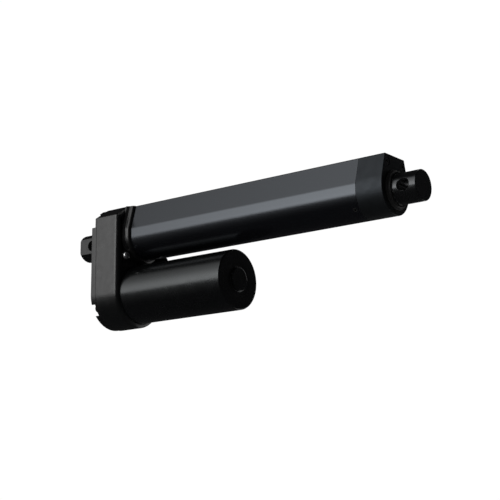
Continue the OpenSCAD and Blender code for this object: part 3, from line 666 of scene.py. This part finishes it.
# ------------------------------------------------------------------ rod end with its cross hole
def cross_hole(x, half, r, ch, seg=64):
    """Hole along Y with a cone at each side of a bar of that half width."""
    h = lathe("pin", [(-30, 0), (-30, r + ch + 0.01), (-half - 0.01, r + ch + 0.01), (-half + ch, r), (half - ch, r), (half + 0.01, r + ch + 0.01), (30, r + ch + 0.01), (30, 0)], seg=seg, axis="y")
    return shift(h, x)


def build_rod_end():
    seam = cap_x1 + 3.4
    body = lathe("end", [(seam, 0), (seam, rod_r - 0.22), (seam + 0.22, rod_r)] + [(rod_x1 - 0.6 + 0.6 * math.sin(math.radians(a)), rod_r - 0.6 + 0.6 * math.cos(math.radians(a))) for a in (0, 18, 36, 54, 72, 90)] + [(rod_x1, 0)], seg=160)
    add(body, lathe("stem", [(cap_x1 - 14, 0), (cap_x1 - 14, 7.5), (cap_x1 - 13.6, 7.94), (seam + 1, 7.94), (seam + 1, 0)], seg=96))
    cut(body, cross_hole(hole_x, rod_r - 0.25, 3.2, 1.35, 96))
    cut(body, shift(lathe("dowel", [(-15, 0), (-15, 1.55), (15, 1.55), (15, 0)], seg=48, axis="z"), cap_x1 - 6))
    return piece(body, "rod_end", 30)


build_rod_end()


def build_inner_tube():
    i0, i1 = span("inner_tube")
    x0, x1 = i0[0], i1[0]
    body = lathe("rod", [(x0, 8), (x0, rod_r - 0.2), (x0 + 0.2, rod_r), (x1 - 0.2, rod_r), (x1, rod_r - 0.2), (x1, 8)], seg=160)
    cut(body, shift(lathe("cross", [(-15, 0), (-15, 1.55), (15, 1.55), (15, 0)], seg=48, axis="y"), x0 + 6))
    cut(body, shift(lathe("dowel", [(-15, 0), (-15, 1.55), (15, 1.55), (15, 0)], seg=48, axis="z"), cap_x1 - 6))
    return piece(body, "inner_tube", 30)


build_inner_tube()


# ------------------------------------------------------------------ rear clevis: turned bar with two flats and a cross hole
def build_clevis():
    r = 10.0
    x0 = K0[0]
    cov = R0[0]
    half = 8.2
    body = lathe("clevis", [(x0, 0)] + [(x0 + 1.1 - 1.1 * math.cos(math.radians(a)), r - 1.1 + 1.1 * math.sin(math.radians(a))) for a in (0, 18, 36, 54, 72, 90)]
                 + [(cov - 0.3, r), (cov, r - 0.3), (cov, 8), (17.4, 8), (17.4, 13), (19.4, 13), (19.4, 0)], seg=160)
    for s in (-1, 1):
        lo, hi = (half, half + 12) if s > 0 else (-half - 12, -half)
        flat = loft("flat", [(lo, -16, 0, 0), (hi, -16, 0, 0), (hi, 16, 0, 0), (lo, 16, 0, 0)], [(x0 - 2, 0), (cov - 4.2, 0)])
        cut(body, flat)
    cut(body, cross_hole(0.0, half, 3.2, 0.6, 96))
    cut(body, rod(15.6, 20, 4.5, seg=96))
    for a in (45, 135, 225, 315):
        y, z = 10.2 * math.cos(math.radians(a)), 10.2 * math.sin(math.radians(a))
        cut(body, lathe("t", [(16, 0), (16, 1.35), (18.2, 1.35), (19.3, 2.35), (20, 2.4), (20, 0)], y, z, 40))
    return piece(body, "rear_clevis", 30)


build_clevis()


# ------------------------------------------------------------------ motor can with a raised bearing boss
def build_can():
    x0, x1 = M0[0], M1[0] - 1.5
    prof = [(x0, 0), (x0, can_r - 0.2), (x0 + 0.2, can_r)]
    prof += [(x1 - 1.1 + 1.1 * math.sin(math.radians(a)), can_r - 1.1 + 1.1 * math.cos(math.radians(a))) for a in (0, 15, 30, 45, 60, 75, 90)]
    # shallow ring pressed round the boss, then the boss with eased edges
    prof += [(x1, 12.4), (x1 - 0.06, 11.6), (x1 - 0.16, 10.8), (x1 - 0.2, 10.0), (x1 - 0.2, 9.0), (x1 - 0.14, 8.6), (x1 + 0.05, 8.32)]
    prof += [(x1 + 1.5 - 0.6 + 0.6 * math.sin(math.radians(a)), 8.2 - 0.6 + 0.6 * math.cos(math.radians(a))) for a in (0, 22, 45, 67, 90)]
    prof += [(x1 + 1.5, 0)]
    body = lathe("can", prof, 0, mz, 192)
    cut(body, rod(x0 - 1, x1 - 1.6, can_r - 1.6, 0, mz, 128), rod(x1 - 2, x1 + 0.4, 5.6, 0, mz, 64))
    return piece(body, "motor_can", 28)


build_can()


# ------------------------------------------------------------------ fasteners
def star(x0, x1, w, ln, y, z, turn=0.0):
    """Cross recess cutter with tapering blades."""
    obs = []
    for k in (0, 90):
        pts = [(-ln, -w), (ln, -w), (ln, w), (-ln, w)]
        v, f = [], []
        for x, s in ((x0, 0.45), (x1, 1.0)):
            v += [(x, p[0] * s, p[1] * (0.7 if s < 1 else 1)) for p in pts]
        f = [(3, 2, 1, 0), (4, 5, 6, 7)] + [(i, (i + 1) % 4, 4 + (i + 1) % 4, 4 + i) for i in range(4)]
        o = make("blade", v, f)
        spin(o, k + turn)
        obs.append(shift(o, 0, y, z))
    return obs


def hexagon(x0, x1, r, y, z, turn=0.0):
    pts = [(r * math.cos(math.radians(60 * i + turn)), r * math.sin(math.radians(60 * i + turn)), 0, 0) for i in range(6)]
    return shift(loft("hex", pts, [(x0, 0), (x1, 0)]), 0, y, z)


def pan_screws():
    obs = []
    for i, p in enumerate(FRONT_PTS):
        f = face_x
        head = [(f, 0), (f, 2.85), (f + 0.12, 3.0), (f + 0.5, 3.0), (f + 0.62, 2.88), (f + 0.62, 2.8), (f + 0.9, 2.8)]
        head += [(f + 0.9 + 1.85 * math.sin(math.radians(a)), 2.8 * math.cos(math.radians(a)) ** 0.8) for a in (12, 24, 36, 48, 60, 70, 78)]
        head += [(f + 2.8, 0)]
        o = lathe("head", head, p[0], p[1], 64)
        cut(o, *star(f + 1.3, f + 3.0, 0.42, 1.75, p[0], p[1], 20 + 31 * i))
        add(o, rod(S0[0], f + 0.3, 1.5, p[0], p[1], 32))
        obs.append(polish(o, 30))
    return join("pan", obs)


piece(pan_screws(), "housing_screws", 30, clean=False)


def button_screws():
    x0 = span("cover_screws")[0][0]
    xs = x0 + 2.2
    obs = []
    for i, p in enumerate(COVER_PTS):
        head = [(x0, 0), (x0, 1.75)] + [(xs - 0.3 - 1.9 * math.cos(math.radians(a)), 1.75 + 1.45 * math.sin(math.radians(a))) for a in (8, 20, 34, 48, 62, 76, 90)]
        head += [(xs - 0.08, 3.2), (xs, 3.1), (xs, 0)]
        o = lathe("head", head, p[0], p[1], 72)
        cut(o, hexagon(x0 - 0.5, x0 + 1.3, 1.44, p[0], p[1], 17 * i))
        add(o, rod(xs - 0.3, 30, 2.0, p[0], p[1], 32))
        obs.append(polish(o, 30))
    return join("button", obs)


piece(button_screws(), "cover_screws", 30, clean=False)


def cap_screw_heads():
    c0 = span("cap_screws")[0][0]
    obs = []
    for i, s in enumerate((-1, 1)):
        o = lathe("cs", [(c0, 0), (c0, 1.2), (c0 + 0.3, 1.5), (cap_x1 - 1.6, 1.5), (cap_x1 - 0.42, 2.62), (cap_x1 - 0.24, 2.7), (cap_x1 - 0.2, 2.5), (cap_x1 - 0.2, 0)], s * PORT[0], PORT[1], 56)
        cut(o, hexagon(cap_x1 - 1.3, cap_x1 + 1, 1.15, s * PORT[0], PORT[1], 11 + 23 * i))
        obs.append(polish(o, 30))
    return join("cs", obs)


piece(cap_screw_heads(), "cap_screws", 30, clean=False)


def gland():
    y, z = GLAND
    f = face_x
    prof = [(33.4, 1.3), (33.4, 2.24), (f + 0.02, 2.24), (f + 0.02, 2.9), (f + 0.15, 3.08), (f + 0.9, 3.08), (f + 1.2, 2.95), (f + 1.4, 2.7)]
    n = 7
    pitch = (L1[0] - 0.7 - f - 1.5) / n
    for i in range(n):
        x = f + 1.5 + pitch * i
        r = 2.86 - 0.6 * (i + 0.5) / n
        prof += [(x, r - 0.4), (x + 0.3, r - 0.4), (x + 0.36, r), (x + pitch - 0.12, r - 0.04), (x + pitch - 0.06, r - 0.4)]
    prof += [(L1[0] - 0.7, 1.9), (L1[0] - 0.15, 1.8), (L1[0], 1.65), (L1[0], 1.45), (L1[0] - 0.15, 1.3)]
    return lathe("gland", prof, y, z, 64)


piece(gland(), "cable_gland", 25)

# ------------------------------------------------------------------ stage: floor, camera, light
fl = bpy.data.meshes.new("floor")
R = 16.0
ring = [(R * math.cos(2 * math.pi * i / 64), R * math.sin(2 * math.pi * i / 64), -1.2) for i in range(64)]
fl.from_pydata(ring, [], [tuple(range(64))])
floor = bpy.data.objects.new("floor", fl)
bpy.context.scene.collection.objects.link(floor)
fm = bpy.data.materials.new("floor_pale")
fm.use_nodes = True
fb = fm.node_tree.nodes["Principled BSDF"]
fb.inputs["Base Color"].default_value = (0.86, 0.86, 0.86, 1)
fb.inputs["Roughness"].default_value = 0.9
fb.inputs["Emission Color"].default_value = (1, 1, 1, 1)
fb.inputs["Emission Strength"].default_value = 0.95
fl.materials.append(fm)
floor.visible_glossy = False
floor.visible_shadow = False

cam_data = bpy.data.cameras.new("camera")
cam = bpy.data.objects.new("camera", cam_data)
bpy.context.scene.collection.objects.link(cam)
cam_data.sensor_width = 36.0
cam_data.lens = 93.39
cam_data.clip_start, cam_data.clip_end = 0.01, 50
right = Vector((0.7892707, 0.6140155, -0.0060625))
up = Vector((0.1385705, -0.1684862, 0.9759153))
back = Vector((0.5982056, -0.7711014, -0.2180656))
rot = Matrix((right, up, back)).transposed()
cam.matrix_world = Matrix.Translation((0.66162, -0.67123, -0.21155)) @ rot.to_4x4()
bpy.context.scene.camera = cam

CENTRE = Vector((0.13, 0.0, -0.01))


def softbox(name, az, el, dist, w, h, radiance, colour=(1, 1, 1), fade=None):
    """Rectangular light that faces the object from azimuth and elevation in degrees (azimuth from +X towards +Y)."""
    d = Vector((math.cos(math.radians(el)) * math.cos(math.radians(az)), math.cos(math.radians(el)) * math.sin(math.radians(az)), math.sin(math.radians(el))))
    li = bpy.data.lights.new(name, "AREA")
    li.shape = "RECTANGLE"
    li.size, li.size_y = w, h
    li.energy = radiance * math.pi * w * h
    li.color = colour
    o = bpy.data.objects.new(name, li)
    bpy.context.scene.collection.objects.link(o)
    o.location = CENTRE + d * dist
    o.rotation_mode = "QUATERNION"
    o.rotation_quaternion = (-d).to_track_quat("-Z", "Y")
    o.visible_camera = False
    if fade:
        li.use_nodes = True
        nt = li.node_tree
        em = nt.nodes["Emission"]
        geo = nt.nodes.new("ShaderNodeNewGeometry")
        sep = nt.nodes.new("ShaderNodeSeparateXYZ")
        nt.links.new(geo.outputs["Parametric"], sep.inputs[0])
        parts = []
        for i, stops in enumerate(fade):
            ramp = nt.nodes.new("ShaderNodeValToRGB")
            els = ramp.color_ramp.elements
            while len(els) < len(stops):
                els.new(0.5)
            for e, (p, v) in zip(els, stops):
                e.position = p
                e.color = (v, v, v, 1)
            nt.links.new(sep.outputs[i], ramp.inputs[0])
            parts.append(ramp.outputs[0])
        mul = nt.nodes.new("ShaderNodeMath")
        mul.operation = "MULTIPLY"
        nt.links.new(parts[0], mul.inputs[0])
        nt.links.new(parts[1], mul.inputs[1])
        nt.links.new(mul.outputs[0], em.inputs["Strength"])
    return o


# key: a tall soft panel on the near side, from just above the object's level upwards
KEY_UP = Vector((0.2202, 0.3031, 0.9272)) * 0.25
key = softbox("key", -126, 22, 1.35, 1.5, 1.55, 5.0,
              fade=(((0.0, 0.10), (0.22, 0.36), (0.30, 0.50), (0.43, 0.70), (0.53, 0.98), (0.60, 1.15), (1.0, 1.15)),
                    ((0.0, 1.0), (0.14, 1.0), (0.25, 0.88), (0.45, 0.54), (0.54, 0.44), (0.76, 0.42), (0.86, 0.0), (1.0, 0.0))))
key.location += KEY_UP
# faint light from below the level, as a pale floor would return it
softbox("low", -128, -17, 1.35, 1.4, 0.7, 0.32, fade=(((0.0, 0.5), (1.0, 1.0)), ((0.0, 0.0), (0.5, 0.35), (1.0, 1.0))))
# overhead and far side, out of sight of the faces that the photo's view shows
softbox("top", 95, 64, 1.3, 0.5, 0.45, 2.0)
softbox("far", 88, 24, 1.5, 0.5, 0.7, 1.2)
softbox("back", 82, -27, 1.4, 1.1, 0.8, 0.9)

world = bpy.data.worlds.new("world")
bpy.context.scene.world = world
world.use_nodes = True
wt = world.node_tree
wt.nodes.clear()
wo = wt.nodes.new("ShaderNodeOutputWorld")
wm = wt.nodes.new("ShaderNodeMixShader")
wl = wt.nodes.new("ShaderNodeLightPath")
dim = wt.nodes.new("ShaderNodeBackground")
dim.inputs[0].default_value = (0.02, 0.02, 0.021, 1)
lit = wt.nodes.new("ShaderNodeBackground")
lit.inputs[0].default_value = (1, 1, 1, 1)
lit.inputs[1].default_value = 1.02
wt.links.new(wl.outputs["Is Camera Ray"], wm.inputs[0])
wt.links.new(dim.outputs[0], wm.inputs[1])
wt.links.new(lit.outputs[0], wm.inputs[2])
wt.links.new(wm.outputs[0], wo.inputs[0])
bpy.context.scene.view_settings.view_transform = "Standard"

# ------------------------------------------------------------------ final scene update
bpy.context.view_layer.update()
